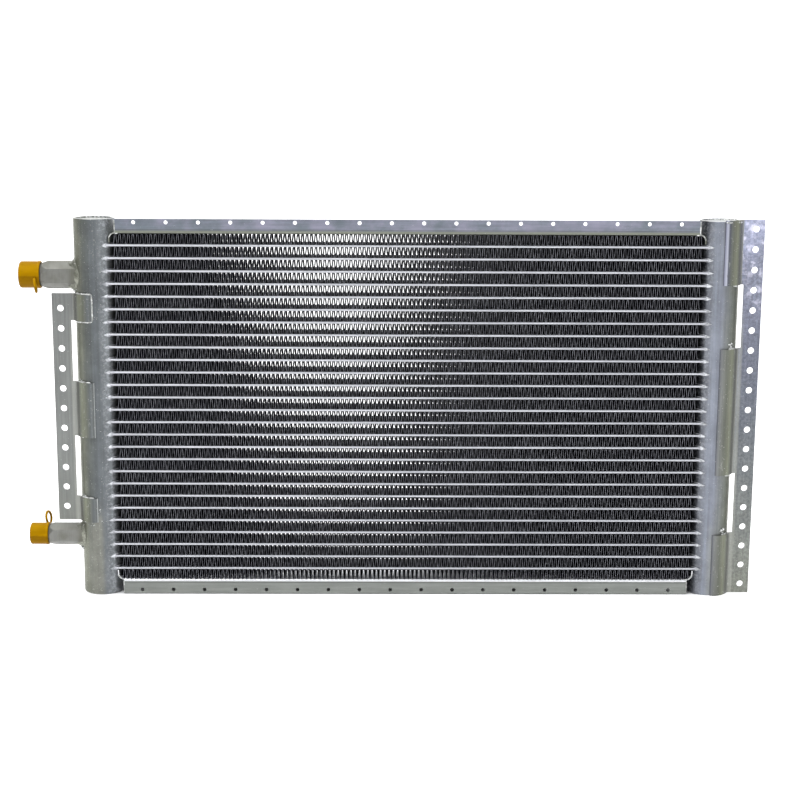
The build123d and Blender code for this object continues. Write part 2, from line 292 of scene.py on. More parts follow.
def pipe_marks(look, colour, width, haze, flux_share):
    """Flux haze by the tubes, pale specks, and pits and scale towards both ends of a pipe."""
    flux = look.band(haze, 0.46, 0.64, 0.0, flux_share)
    flux = look.math("MULTIPLY", look.band(width, 0.42, 0.22), flux)
    colour = look.blend(flux, colour, srgb(190, 192, 198))
    specks = look.band(look.noise(1100, 2.0, 0.5), 0.69, 0.74, 0.0, 0.6)
    colour = look.blend(specks, colour, srgb(206, 206, 200))
    ends = look.band(look.math("ABSOLUTE", look.axis("Z"), 0.0), 0.095, 0.115)
    pitted = look.math("MULTIPLY", ends, flux_share)
    for scale, mark in ((620, srgb(70, 72, 66)), (480, srgb(196, 197, 190))):
        marks = look.band(look.noise(scale, 4.0, 0.7), 0.60, 0.68)
        colour = look.blend(look.math("MULTIPLY", marks, pitted), colour, mark)
    return colour


def header_metal(name, side, stops, flux_share, foot):
    """Brazed pipe: satin metal with colours across its width, marked by flux; its upward faces are paler."""
    look = Look(name, 0.72, 0.42)
    width = look.across(side, HEADER_X - HEADER_RADIUS, HEADER_X + HEADER_RADIUS)
    streaks = look.noise(1.0, 4.0, 0.55, look.stretched(500, 500, 12))
    clouds = look.noise(55, 4.0, 0.6)
    haze = look.noise(420, 4.0, 0.65)
    colour = look.tinted(pipe_tint(look, width, stops, foot), streaks, 0.10)
    colour = look.tinted(colour, clouds, 0.14)
    colour = pipe_marks(look, colour, width, haze, flux_share)
    upward = look.band(look.facing("Z"), 0.6, 0.9, 0.0, 0.6)
    look.colour(look.blend(upward, colour, srgb(196, 197, 192)))
    look.roughness(look.band(haze, 0.3, 0.7, 0.34, 0.52))
    look.bump(look.noise(1600, 3.0, 0.6), 0.04 * MM, 0.5, look.bump(clouds, 0.3 * MM, 0.3))
    return look.material


def tube_metal():
    """Extruded tube: bright along its rounded noses, rougher on its flats inside the fin pack, which are
    painted dark as painted shade.
    """
    look = Look("tube_metal", 0.4, 0.34)
    lines = look.noise(1.0, 4.0, 0.6, look.stretched(25, 1500, 1500))
    patches = look.noise(90, 4.0, 0.65)
    colour = look.blend(look.band(lines, 0.3, 0.7), srgb(168, 170, 176), srgb(206, 207, 213))
    colour = look.blend(look.band(patches, 0.58, 0.74, 0.0, 0.4), colour, srgb(142, 144, 150))
    # Painted shade: the flat faces inside the fin pack are painted near-black.
    flat = look.band(look.math("ABSOLUTE", look.facing("Y"), 0.0), 0.86, 0.4)
    look.colour(look.blend(flat, colour, srgb(34, 35, 40)))
    rough = look.band(patches, 0.3, 0.7, 0.28, 0.42)
    look.roughness(look.math("ADD", rough, look.math("MULTIPLY", flat, 0.35)))
    look.bump(lines, 0.03 * MM, 0.5)
    return look.material


def fin_metal():
    """Thin fin sheet: painted near-black as painted shade inside the core and a little lighter near its
    front as painted light, with the louvre rows across its depth.
    """
    look = Look("fin_metal", 0.0, 0.85)
    louvres = look.add("ShaderNodeTexWave", wave_type="BANDS", bands_direction="Y")
    louvres.inputs["Scale"].default_value = 260
    look.join(look.place, louvres.inputs["Vector"])
    patches = look.noise(160, 4.0, 0.6)
    # Painted shade: the fin faces are painted near-black.
    colour = look.blend(look.band(patches, 0.3, 0.7), srgb(10, 10, 13), srgb(24, 24, 29))
    # Painted light: the first 2 mm behind the core's front are painted lighter.
    front = look.band(look.axis("Y"), CORE_FRONT + 2.0 * MM, CORE_FRONT)
    colour = look.blend(look.math("MULTIPLY", front, 0.35), colour, srgb(44, 45, 51))
    look.colour(colour)
    look.roughness(look.band(patches, 0.3, 0.7, 0.75, 0.9))
    look.shader.inputs["Specular IOR Level"].default_value = 0.08
    look.bump(louvres.outputs["Fac"], 0.2 * MM, 0.5)
    return look.material


def fin_edge_metal():
    """The sheared edges of the fins, brighter than the faces, with bits of braze."""
    look = Look("fin_edge_metal", 0.35, 0.4)
    bits = look.noise(260, 4.0, 0.65)
    look.colour(look.blend(look.band(bits, 0.38, 0.68), srgb(84, 85, 92), srgb(150, 151, 159)))
    look.roughness(look.band(bits, 0.3, 0.7, 0.3, 0.55))
    return look.material


def plate_metal():
    """Side-plate sheet: bluish at the top of the core, greener at its foot, scuffed along the edges, with a
    painted highlight along the lower plate's lip.
    """
    look = Look("plate_metal", 0.7, 0.42)
    level = look.axis("Z")
    streaks = look.noise(1.0, 5.0, 0.65, look.stretched(30, 500, 500))
    blotches = look.noise(60, 5.0, 0.65)
    bluish = ((0.0, srgb(114, 122, 131)), (1.0, srgb(142, 141, 158)))
    high = look.ramp(look.band(blotches, 0.3, 0.7), bluish)
    colour = look.blend(look.band(level, -0.13, 0.13), srgb(132, 135, 131), high)
    colour = look.tinted(colour, streaks, 0.12)
    upper_foot = look.stripe(level, 0.1, 0.12, 0.1412, 0.1419)
    colour = look.blend(upper_foot, colour, srgb(124, 127, 117))
    upper_line = look.stripe(level, 0.1416, 0.1420, 0.1424, 0.1430)
    colour = look.blend(look.math("MULTIPLY", upper_line, 0.5), colour, srgb(84, 88, 84))
    # Painted highlight: the lower plate's lip is painted near-white, as if it caught the overhead light.
    painted_lip_highlight = look.stripe(level, -0.1412, -0.1406, -0.12, -0.1)
    colour = look.blend(painted_lip_highlight, colour, srgb(240, 241, 244))
    lower_line = look.stripe(level, -0.1424, -0.1419, -0.1416, -0.1412)
    colour = look.blend(look.math("MULTIPLY", lower_line, 0.6), colour, srgb(78, 80, 80))
    scuffs = look.band(look.noise(420, 5.0, 0.7, look.stretched(1, 1, 2.5)), 0.66, 0.72, 0.0, 0.6)
    look.colour(look.blend(scuffs, colour, srgb(226, 226, 232)))
    look.roughness(look.band(blotches, 0.3, 0.7, 0.32, 0.5))
    look.bump(streaks, 0.05 * MM, 0.5)
    return look.material


# Colours round the pipe, from a tab's lip outwards to the flange; the two lighter stops at 0.9 and 1.0 are a
# painted highlight on the bend
TAB_STOPS = (
    (0.42, srgb(98, 100, 91)), (0.62, srgb(118, 121, 105)), (0.80, srgb(106, 107, 103)),
    (0.9, srgb(142, 143, 138)), (1.0, srgb(150, 151, 147)),
)
# The right bracket's lower tabs: the same painted shade line at the lip's foot, without the painted
# highlight on the bevel.
DULL_LIP_STOPS = (
    (0.045, srgb(78, 80, 86)), (0.08, srgb(112, 114, 118)), (0.18, srgb(120, 122, 120)),
    (0.24, srgb(106, 108, 104)),
)


def tab_colour(look, side, lip_stops, dull_below):
    """Colours of a bracket's tabs, banded round the pipe and scuffed."""
    width = look.across(side, HEADER_X, HEADER_X + 18 * MM)
    tab = look.ramp(width, lip_stops + TAB_STOPS)
    if dull_below:
        dull = look.ramp(width, DULL_LIP_STOPS + TAB_STOPS)
        tab = look.blend(look.band(look.axis("Z"), 0.06, 0.1), dull, tab)
    scuffs = look.noise(1.0, 4.0, 0.7, look.stretched(420, 420, 150))
    tab = look.blend(look.band(scuffs, 0.60, 0.68, 0.0, 0.4), tab, srgb(160, 162, 158))
    return look.blend(look.band(scuffs, 0.38, 0.32, 0.0, 0.4), tab, srgb(84, 86, 80))


def flange_colour(look, side, clouds, stops, mottled):
    """Colours up a bracket's flat flange, with a painted highlight as a light line along its fold."""
    rise = look.math("ADD", look.axis("Z"), look.band(clouds, 0.2, 0.8, -0.02, 0.02))
    flange = look.ramp(look.even(rise, -0.15, 0.15), stops)
    if mottled:
        flange = look.tinted(flange, look.noise(420, 6.0, 0.78), 0.34)
        bloom = look.band(look.noise(140, 4.0, 0.6), 0.5, 0.68)
        bloom = look.math("MULTIPLY", bloom, look.band(rise, 0.06, 0.13))
        flange = look.blend(look.math("MULTIPLY", bloom, 0.7), flange, srgb(238, 236, 255))
    # Painted highlight: a light line along the fold, near the foot of the flange.
    fold = look.math("MULTIPLY", look.across(side, HEADER_X + 17 * MM, HEADER_X + 18 * MM),
                     look.across(side, HEADER_X + 21 * MM, HEADER_X + 19.5 * MM))
    fold = look.math("MULTIPLY", fold, look.band(look.axis("Z"), 0.09, 0.05))
    return look.blend(look.math("MULTIPLY", fold, 0.5), flange, srgb(160, 161, 154))


def bracket_metal(name, side, lip_stops, flange_stops, mottled):
    """Bracket sheet: banded round the pipe, plain or galvanised-looking on its flat flange."""
    look = Look(name, 0.68, 0.42)
    clouds = look.noise(42, 4.0, 0.6)
    streaks = look.noise(1.0, 4.0, 0.55, look.stretched(600, 600, 20))
    tab = tab_colour(look, side, lip_stops, mottled)
    flange = flange_colour(look, side, clouds, flange_stops, mottled)
    outward = look.across(side, HEADER_X + 16.6 * MM, HEADER_X + 17.6 * MM)
    colour = look.tinted(look.blend(outward, tab, flange), streaks, 0.12)
    specks = look.band(look.noise(800, 2.0, 0.5), 0.68, 0.74, 0.0, 0.5)
    look.colour(look.blend(specks, colour, srgb(214, 214, 210)))
    look.roughness(look.band(clouds, 0.3, 0.7, 0.36, 0.52))
    look.bump(look.noise(900, 3.0, 0.6), 0.04 * MM, 0.5, look.bump(clouds, 0.2 * MM, 0.3))
    return look.material


def fitting_metal():
    """Milled bosses: a faint grain across the flats, grime near the weld, upward faces darker and more
    olive, and downward faces painted darker as painted shade.
    """
    look = Look("fitting_metal", 0.6, 0.48)
    grain = look.noise(1.0, 3.0, 0.5, look.stretched(1500, 60, 60))
    grime = look.noise(90, 4.0, 0.6)
    colour = look.tinted(srgb(120, 120, 116), grain, 0.07)
    colour = look.blend(look.band(grime, 0.5, 0.72, 0.0, 0.5), colour, srgb(100, 100, 88))
    near_weld = look.across(-1, HEADER_X + HEADER_RADIUS + 5 * MM, HEADER_X + HEADER_RADIUS + 1 * MM)
    colour = look.blend(look.math("MULTIPLY", near_weld, 0.5), colour, srgb(92, 92, 78))
    # Upward faces darker and more olive; downward faces painted darker as painted shade.
    colour = look.blend(look.band(look.facing("Z"), 0.2, 0.7, 0.0, 0.5), colour, srgb(92, 92, 82))
    look.colour(look.blend(look.band(look.facing("Z"), -0.2, -0.7, 0.0, 0.6), colour, srgb(84, 84, 76)))
    look.roughness(look.band(grime, 0.35, 0.7, 0.36, 0.52))
    look.bump(grain, 0.02 * MM, 0.4)
    return look.material


def weld_metal(name, dark, light):
    """Weld and braze metal: uneven, rough in places."""
    look = Look(name, 0.55, 0.38)
    grain = look.noise(1100, 4.0, 0.7)
    patches = look.noise(260, 3.0, 0.6)
    colour = look.blend(look.band(patches, 0.35, 0.65), dark, light)
    colour = look.blend(look.band(grain, 0.6, 0.72, 0.0, 0.6), colour, srgb(92, 92, 84))
    look.colour(colour)
    look.roughness(look.band(grain, 0.3, 0.7, 0.24, 0.5))
    look.bump(grain, 0.1 * MM, 0.7)
    return look.material


def seal_rubber():
    """Black nitrile with a faint mould bloom."""
    look = Look("seal_rubber", 0.0, 0.55)
    bloom = look.noise(600, 3.0)
    look.colour(look.blend(look.band(bloom, 0.4, 0.7), srgb(24, 24, 26), srgb(46, 46, 48)))
    look.bump(bloom, 0.03 * MM, 0.4)
    return look.material


def cap_plastic():
    """Soft yellow polythene with flow marks and rubbed dirt, its underside painted darker as painted shade.
    """
    look = Look("cap_plastic", 0.0, 0.42)
    flow = look.noise(1.0, 3.0, 0.5, look.stretched(60, 220, 220))
    dirt = look.noise(420, 4.0, 0.65)
    colour = look.blend(look.band(flow, 0.3, 0.7), srgb(152, 111, 0), srgb(168, 125, 0))
    colour = look.blend(look.band(dirt, 0.62, 0.75, 0.0, 0.5), colour, srgb(104, 66, 2))
    # Painted shade: the cap's downward-facing side is painted darker.
    painted_underside_shade = look.band(look.facing("Z"), 0.03, -0.08, 0.0, 0.55)
    look.colour(look.blend(painted_underside_shade, colour, srgb(96, 64, 1)))
    look.roughness(look.band(dirt, 0.3, 0.7, 0.36, 0.55))
    look.shader.inputs["Specular IOR Level"].default_value = 0.03
    look.bump(dirt, 0.04 * MM, 0.5)
    return look.material


LEFT_HEADER = header_metal("left_header_metal", -1, (
    (0.0, srgb(128, 130, 132)), (0.2, srgb(110, 114, 117)), (0.5, srgb(97, 101, 104)),
    (0.72, srgb(93, 96, 93)), (0.86, srgb(116, 118, 106)), (1.0, srgb(110, 112, 98)),
), 0.35, srgb(134, 134, 124))
# The right header's darkest stop, on its core-facing side between the tubes, is painted shade.
RIGHT_HEADER = header_metal("right_header_metal", 1, (
    (0.1, srgb(68, 70, 76)), (0.24, srgb(118, 121, 129)), (0.34, srgb(132, 137, 148)),
    (0.5, srgb(128, 132, 143)), (0.62, srgb(110, 113, 116)), (0.8, srgb(104, 107, 101)),
    (1.0, srgb(98, 100, 84)),
), 0.25, srgb(128, 130, 128))
TUBE = tube_metal()
FIN = fin_metal()
FIN_EDGE = fin_edge_metal()
PLATE = plate_metal()
LEFT_BRACKET = bracket_metal("left_bracket_metal", -1, (
    (0.05, srgb(168, 171, 170)), (0.10, srgb(88, 91, 92)), (0.18, srgb(104, 108, 108)),
    (0.24, srgb(96, 100, 102)),
), (
    (0.0, srgb(110, 112, 105)), (0.4, srgb(126, 128, 126)), (1.0, srgb(118, 120, 119)),
), False)
# The right bracket's lip stops: a painted shade line at the foot of the lip, then a painted highlight on its
# bevel.
RIGHT_BRACKET = bracket_metal("right_bracket_metal", 1, (
    (0.045, srgb(84, 86, 98)), (0.09, srgb(150, 152, 170)), (0.17, srgb(176, 178, 192)),
    (0.23, srgb(82, 85, 94)),
), (
    (0.0, srgb(124, 126, 118)), (0.45, srgb(104, 108, 114)), (0.7, srgb(112, 115, 130)),
    (0.88, srgb(132, 135, 152)), (1.0, srgb(162, 166, 190)),
), True)
FITTING = fitting_metal()
WELD = weld_metal("weld_metal", srgb(140, 142, 138), srgb(232, 233, 232))
DULL_WELD = weld_metal("dull_weld_metal", srgb(104, 105, 94), srgb(144, 145, 134))
BRAZE = weld_metal("braze_metal", srgb(156, 158, 163), srgb(222, 224, 229))
RUBBER = seal_rubber()
PLASTIC = cap_plastic()


# Mesh helpers


def piece(name, vertices, faces, materials, body="core"):
    """A smooth-shaded mesh object in the row frame that rides on a CAD body."""
    mesh = bpy.data.meshes.new(name)
    mesh.from_pydata(vertices, [], faces)
    mesh.polygons.foreach_set("use_smooth", [True] * len(faces))
    for material in materials:
        mesh.materials.append(material)
    mesh.update()
    made = bpy.data.objects.new(name, mesh)
    bpy.context.scene.collection.objects.link(made)
    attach(made, body)
    return made


class Build:
    """Vertices and faces that several closed forms are added to."""

    def __init__(self):
        self.vertices = []
        self.faces = []

    def rings(self, rings, closed=False):
        """Join rings of equally many points; closed joins the last to the first, else both are capped."""
        first = len(self.vertices)
        count = len(rings[0])
        for ring in rings:
            self.vertices.extend(tuple(point) for point in ring)
        steps = len(rings) if closed else len(rings) - 1
        for step in range(steps):
            here = first + step * count
            there = first + (step + 1) % len(rings) * count
            for index in range(count):
                after = (index + 1) % count
                self.faces.append((here + index, here + after, there + after, there + index))
        if not closed:
            last = first + (len(rings) - 1) * count
            self.faces.append(tuple(first + index for index in reversed(range(count))))
            self.faces.append(tuple(last + index for index in range(count)))


# Fins


def fin_line(rng, start, end, foot, height):
    """The zigzag middle line of one strip as (x, z) points, with rounded crests."""
    half = (end - start) / FIN_WAVES / 2
    line = []
    for crest in range(2 * FIN_WAVES + 1):
        side = 1 if crest % 2 else -1
        shift = rng.uniform(-FIN_JITTER, FIN_JITTER) * half
        middle = start + half * crest + shift
        reach = half * FIN_CREST_SHARE
        for step in range(FIN_CREST_STEPS + 1):
            turn = math.pi * step / FIN_CREST_STEPS
            x = middle - reach * math.cos(turn)
            rise = height / 2 - reach * (1 - math.sin(turn)) * FIN_CREST_FALL
            line.append((x, foot + height / 2 + side * rise))
    return line


def fin_strip(build, edges, rng, start, end, foot, height):
    """One corrugated strip of thin sheet: two faces and its front and back edges."""
    line = fin_line(rng, start, end, foot, height)
    stations = ((CORE_FRONT, -FIN_SKEW / 2), (AXIS_Y, FIN_BOW), (CORE_BACK, FIN_SKEW / 2))
    count = 2 * len(stations)
    back = count - 2
    first = len(build.vertices)
    for index, (x, z) in enumerate(line):
        before = line[max(index - 1, 0)]
        after = line[min(index + 1, len(line) - 1)]
        along = Vector((after[0] - before[0], after[1] - before[1])).normalized()
        across = Vector((-along.y, along.x)) * FIN_SHEET / 2
        for y, lean in stations:
            shift = max(min(lean, end - x - FIN_SHEET), start - x + FIN_SHEET)
            build.vertices.append((x + shift + across.x, y, z + across.y))
            build.vertices.append((x + shift - across.x, y, z - across.y))
    for index in range(len(line) - 1):
        here = first + count * index
        there = here + count
        for step in range(0, back, 2):
            a, b = here + step, there + step
            build.faces.append((a, a + 2, b + 2, b))
            build.faces.append((a + 1, b + 1, b + 3, a + 3))
        edges.extend((len(build.faces), len(build.faces) + 1))
        build.faces.append((here, there, there + 1, here + 1))
        build.faces.append((here + back, here + back + 1, there + back + 1, there + back))
    last = first + count * (len(line) - 1)
    for end_at, turned in ((first, False), (last, True)):
        for step in range(0, back, 2):
            face = (end_at + step, end_at + step + 1, end_at + step + 3, end_at + step + 2)
            build.faces.append(tuple(reversed(face)) if turned else face)


def fin_pack(node, rng):
    """Every strip of one pass, in place of the coarser CAD strips."""
    low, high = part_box(node)
    fin_height = PITCH - 2 * TUBE_HALF
    build = Build()
    edges = []
    count = round((high.z - low.z + 2 * TUBE_HALF) / PITCH)
    for strip in range(count):
        fin_strip(build, edges, rng, low.x, high.x, low.z + strip * PITCH, fin_height)
    made = piece(node + "_sheet", build.vertices, build.faces, (FIN, FIN_EDGE))
    for face in edges:
        made.data.polygons[face].material_index = 1
        made.data.polygons[face].use_smooth = False
    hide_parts(node)


# Brazing and welding


def slot_outline(level, points):
    """Points and outward normals round a tube's section, as (y, z, ny, nz)."""
    flat = (CORE_BACK - CORE_FRONT) / 2 - TUBE_HALF
    run = 4 * flat + 2 * math.pi * TUBE_HALF
    outline = []
    for index in range(points):
        at = run * index / points
        if at < 2 * flat:
            outline.append((AXIS_Y - flat + at, level + TUBE_HALF, 0.0, 1.0))
            continue
        at -= 2 * flat
        if at < math.pi * TUBE_HALF:
            turn = math.pi / 2 - at / TUBE_HALF
            y, z = math.cos(turn), math.sin(turn)
            outline.append((AXIS_Y + flat + TUBE_HALF * y, level + TUBE_HALF * z, y, z))
            continue
        at -= math.pi * TUBE_HALF
        if at < 2 * flat:
            outline.append((AXIS_Y + flat - at, level - TUBE_HALF, 0.0, -1.0))
            continue
        at -= 2 * flat
        turn = -math.pi / 2 - at / TUBE_HALF
        y, z = math.cos(turn), math.sin(turn)
        outline.append((AXIS_Y - flat + TUBE_HALF * y, level + TUBE_HALF * z, y, z))
    return outline


def header_face(side, y, lift=0.0):
    """The X of the header's core-facing surface at a depth y."""
    radius = HEADER_RADIUS + lift
    offset = min(abs(y - AXIS_Y), radius * 0.995)
    return side * (HEADER_X - math.sqrt(radius**2 - offset**2))


def braze_fillet(build, rng, side, level, share):
    """The uneven fillet of braze metal round one tube where it enters a header."""
    rings = []
    sway = rng.uniform(0, 100)
    for y, z, ny, nz in slot_outline(level, ROUND_STEPS):
        wobble = noise.noise(Vector((y * 700, z * 500, sway)))
        front = max(0.0, (AXIS_Y - y) / (AXIS_Y - CORE_FRONT) - 0.55)
        size = share * (0.9 + 0.55 * wobble + (1.5 if nz < 0.3 else 0.3) * front) * MM
        reach, spread, lift = size, size, 0.0
        if ny < -0.3:
            reach = max(size, BRAZE_TONGUE * (1 + 0.3 * wobble))
            spread, lift = BRAZE_TONGUE_SPREAD, BRAZE_TONGUE_LIFT
        skin_y = y + ny * reach
        on_skin = Vector((header_face(side, skin_y, lift), skin_y, z + nz * spread))
        corner_x = header_face(side, y)
        on_tube = Vector((corner_x - side * size, y, z))
        corner = Vector((corner_x, y, z))
        buried = corner - Vector((-side * 0.2, ny * 0.2, nz * 0.2)) * MM
        rings.append([
            on_skin, on_skin.lerp(corner, 0.55).lerp(on_tube, 0.12),
            on_skin.lerp(corner, 0.62).lerp(on_tube, 0.38),
            on_tube.lerp(corner, 0.45).lerp(on_skin, 0.12), on_tube, buried,
        ])
    build.rings(rings, closed=True)


def tube_brazing(side_name, side, rng, share):
    build = Build()
    for level in TUBE_LEVELS:
        braze_fillet(build, rng, side, level, share)
    piece(f"{side_name}_tube_brazing", build.vertices, build.faces, (BRAZE,))


def bead(build, rng, route, size, ripple=0.22, segments=10, closed=False):
    """An uneven weld bead along a route of points."""
    points = [Vector(point) for point in route]
    count = len(points)
    sway = rng.uniform(0, 100)
    rings = []
    for index, point in enumerate(points):
        before = points[index - 1] if closed else points[max(index - 1, 0)]
        after = points[(index + 1) % count] if closed else points[min(index + 1, count - 1)]
        along = (after - before).normalized()
        side = along.cross(Vector((0.31, 0.87, 0.39))).normalized()
        up = along.cross(side)
        taper = 1.0 if closed else min(1.0, 0.35 + 0.65 * min(index, count - 1 - index) / 2)
        ring = []
        for segment in range(segments):
            turn = 2 * math.pi * segment / segments
            lump = noise.noise(point * 900 + Vector((sway, math.cos(turn), math.sin(turn))))
            wave = ripple * math.sin(index * 1.9)
            radius = size * taper * (1 + 0.55 * lump + wave)
            ring.append(point + side * (radius * math.cos(turn)) + up * (radius * math.sin(turn)))
        rings.append(ring)
    build.rings(rings, closed=closed)


def on_pipe(side, angle, z, lift=0.0):
    """A point on a header's skin; angle counts from the front, positive outwards."""
    turn = math.radians(angle)
    radius = HEADER_RADIUS + lift
    return (side * (HEADER_X + radius * math.sin(turn)), AXIS_Y - radius * math.cos(turn), z)


def around_bead(build, rng, side, z, first, last, size, lift=0.6 * MM):
    """A bead round part of a header at one height."""
    steps = max(4, int(abs(last - first) / 2.5))
    angles = [first + (last - first) * step / steps for step in range(steps + 1)]
    route = [on_pipe(side, a, z + rng.uniform(-0.15, 0.15) * MM, lift) for a in angles]
    bead(build, rng, route, size)


def upright_bead(build, rng, side, angle, top, bottom, size, lift=0.3 * MM):
    """A bead down a header at one angle."""
    steps = max(4, int((top - bottom) / (0.9 * MM)))
    levels = [top + (bottom - top) * step / steps for step in range(steps + 1)]
    route = [on_pipe(side, angle + rng.uniform(-0.4, 0.4), z, lift) for z in levels]
    bead(build, rng, route, size)


def spatter(build, rng, side, angle, z, spread, count, size):
    """Small drops of weld metal scattered round a place on a header."""
    for _ in range(count):
        turn = angle + rng.gauss(0, 1) * spread
        level = z + rng.gauss(0, 1) * spread * 0.3 * MM
        drop = rng.uniform(0.45 * size, size)
        centre = Vector(on_pipe(side, turn, level, 0.1 * MM))
        route = []
        for step in range(3):
            way = Vector((rng.uniform(-1, 1), 0, rng.uniform(-1, 1)))
            route.append(centre + way * drop * step)
        bead(build, rng, route, drop, 0.1, 8)


def port_fillet(build, rng, port):
    """The hollow-faced fillet weld between a port's hexagon and the left header."""
    hexagon = port["flats"] / 2 * 1.04
    inner = hexagon - 1.2 * MM
    sway = rng.uniform(0, 100)
    rings = []
    for step in range(ROUND_STEPS):
        turn = 2 * math.pi * step / ROUND_STEPS
        y, z = math.cos(turn), math.sin(turn)
        lump = 1 + 0.22 * noise.noise(Vector((3 * y, 3 * z, sway))) + 0.08 * math.sin(step * 2.1)
        under = (1.25 if z < -0.4 else 1.0) * (1 - 0.5 * max(0.0, -y) ** 2)
        reach = PORT_FILLET_REACH * lump * under
        rise = PORT_FILLET_RISE * lump * under
        section = [(inner, -1.0 * MM), (inner, rise)]
        section += [(hexagon + out * reach, along * rise) for out, along in PORT_FILLET_CURVE]
        ring = []
        for radius, lift in section:
            skin = math.sqrt(max(HEADER_RADIUS**2 - (radius * y) ** 2, 0.0))
            x = -(HEADER_X + skin + lift - 0.1 * MM)
            ring.append((x, AXIS_Y + radius * y, port["z"] + radius * z))
        rings.append(ring)
    build.rings(rings, closed=True)


def blob(build, rng, side, angle, z, size):
    """A lump of weld metal where a tack was struck."""
    for turn, rise in ((-3, 0.5), (2, -0.3), (5, 0.9)):
        centre = Vector(on_pipe(side, angle + turn, z + rise * size, 0.3 * MM))
        along = Vector((rng.uniform(0.2, 0.6), 0, rng.uniform(-0.5, 0.5))) * size
        route = [centre + along * (step - 1.5) * 0.6 for step in range(4)]
        bead(build, rng, route, size * rng.uniform(0.6, 0.85), 0.15, 10)


def port_welds(rng):
    for name, port in PORTS.items():
        build = Build()
        port_fillet(build, rng, port)
        piece(f"{name}_port_weld", build.vertices, build.faces, (DULL_WELD,))
        drops = Build()
        under = port["z"] - port["flats"] / 2 - 2.2 * MM
        around_bead(drops, rng, -1, under, 66, 82, 0.7 * MM, 1.2 * MM)
        spatter(drops, rng, -1, 66, under, 4, 8, 0.55 * MM)
        spatter(drops, rng, -1, 62, port["z"] + port["flats"] / 2, 3, 4, 0.5 * MM)
        blob(drops, rng, -1, 70, under - 0.6 * MM, 1.1 * MM)
        piece(f"{name}_port_spatter", drops.vertices, drops.faces, (WELD,))


def left_bracket_welds(rng):
    build = Build()
    top, bottom = LEFT_TABS[0]
    around_bead(build, rng, -1, top + 0.3 * MM, 3, 58, 0.75 * MM, 1.1 * MM)
    around_bead(build, rng, -1, bottom - 0.3 * MM, 3, 58, 0.7 * MM, 1.1 * MM)
    upright_bead(build, rng, -1, 2.2, top, bottom, 0.55 * MM)
    for top, bottom in LEFT_TABS[1:]:
        around_bead(build, rng, -1, top + 0.2 * MM, 12, 54, 0.7 * MM, 1.2 * MM)
        blob(build, rng, -1, 46, top + 1.0 * MM, 1.0 * MM)
        around_bead(build, rng, -1, bottom - 0.2 * MM, 38, 50, 0.6 * MM, 1.2 * MM)
        spatter(build, rng, -1, 40, top - 3 * MM, 6, 10, 0.5 * MM)
        spatter(build, rng, -1, 2, (top + bottom) / 2, 5, 4, 0.45 * MM)
    spatter(build, rng, -1, 12, -95 * MM, 14, 16, 0.4 * MM)
    piece("left_bracket_welds", build.vertices, build.faces, (WELD,))


def right_bracket_welds(rng):
    build = Build()
    (_, first_bottom), (middle_top, middle_bottom), (last_top, _) = RIGHT_TABS
    for z in (first_bottom - 0.3 * MM, middle_bottom - 0.3 * MM):
        around_bead(build, rng, 1, z, 34, 54, 0.8 * MM, 0.9 * MM)
    around_bead(build, rng, 1, middle_top + 0.3 * MM, 26, 50, 1.0 * MM, 1.0 * MM)
    around_bead(build, rng, 1, last_top + 0.3 * MM, 30, 52, 0.8 * MM, 0.9 * MM)
    spatter(build, rng, 1, 38, middle_top + 1.5 * MM, 5, 8, 0.6 * MM)
    blob(build, rng, 1, 34, last_top + 2.2 * MM, 2.2 * MM)
    blob(build, rng, 1, 34, middle_top + 2.4 * MM, 2.0 * MM)
    blob(build, rng, 1, 52, first_bottom - 1.0 * MM, 1.1 * MM)
    blob(build, rng, 1, 50, middle_bottom - 0.8 * MM, 1.2 * MM)
    for first, last in ((4, 24), (30, 62)):
        around_bead(build, rng, 1, RIGHT_TABS[0][0] - 1.5 * MM, first, last, 0.85 * MM, 1.3 * MM)
    piece("right_bracket_welds", build.vertices, build.faces, (WELD,))


def header_rim(side_name, side, rng, size):
    """The uneven braze ring between a header and its top end cap."""
    build = Build()
    radius = HEADER_RADIUS - 1.5 * MM
    top = HEADER_HIGH.z - size
    route = []
    for step in range(90):
        turn = 2 * math.pi * step / 90
        wander = radius + rng.uniform(-0.15, 0.15) * MM
        route.append((side * HEADER_X + wander * math.cos(turn), AXIS_Y + wander * math.sin(turn), top))
    bead(build, rng, route, size * 0.75, 0.2, 10, closed=True)
    piece(f"{side_name}_header_rim_braze", build.vertices, build.faces, (WELD,))


def plate_edge_highlights_and_braze(name, rng):
    """Bright beads on a side plate: painted highlights down the front of its ends and along the edge of each
    curl, and a lump of braze at each corner.
    """
    build = Build()
    low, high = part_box(name)
    upper = high.z > 0
    away = 1 if upper else -1
    edge = high.z if upper else low.z
    web = (TUBE_LEVELS[0] if upper else TUBE_LEVELS[-1]) + away * PLATE_WEB_REACH
    radius = PLATE_CURL + 0.6 * MM
    for side in (-1, 1):
        upright = []
        bend = []
        for step in range(9):
            upright.append((side * PLATE_END, CORE_FRONT, edge + (web - edge) * (step + 0.5) / 9))
            turn = math.radians(90 - 84 * step / 8)
            x = PLATE_CURL_START + radius * math.cos(turn)
            z = web - away * PLATE_CURL + away * radius * math.sin(turn)
            bend.append((side * x, CORE_FRONT + 1.9 * MM, z))
        bead(build, rng, upright, 0.5 * MM, 0.25, 8)
        bead(build, rng, bend, 0.55 * MM, 0.15, 8)
        corner = []
        for step in range(4):
            x = PLATE_END + (1.1 * step - 2.7) * MM
            corner.append((side * x, CORE_FRONT + 0.6 * MM, web + away * 0.3 * MM))
        bead(build, rng, corner, 0.8 * MM, 0.1, 8)
    piece(name + "_edge_highlights_and_braze", build.vertices, build.faces, (WELD,))


# Port caps


def cap_mouth(port):
    """The X of a cap's open end."""
    return -(HEADER_X + HEADER_RADIUS + port["hex_length"] + CAP_GAP)


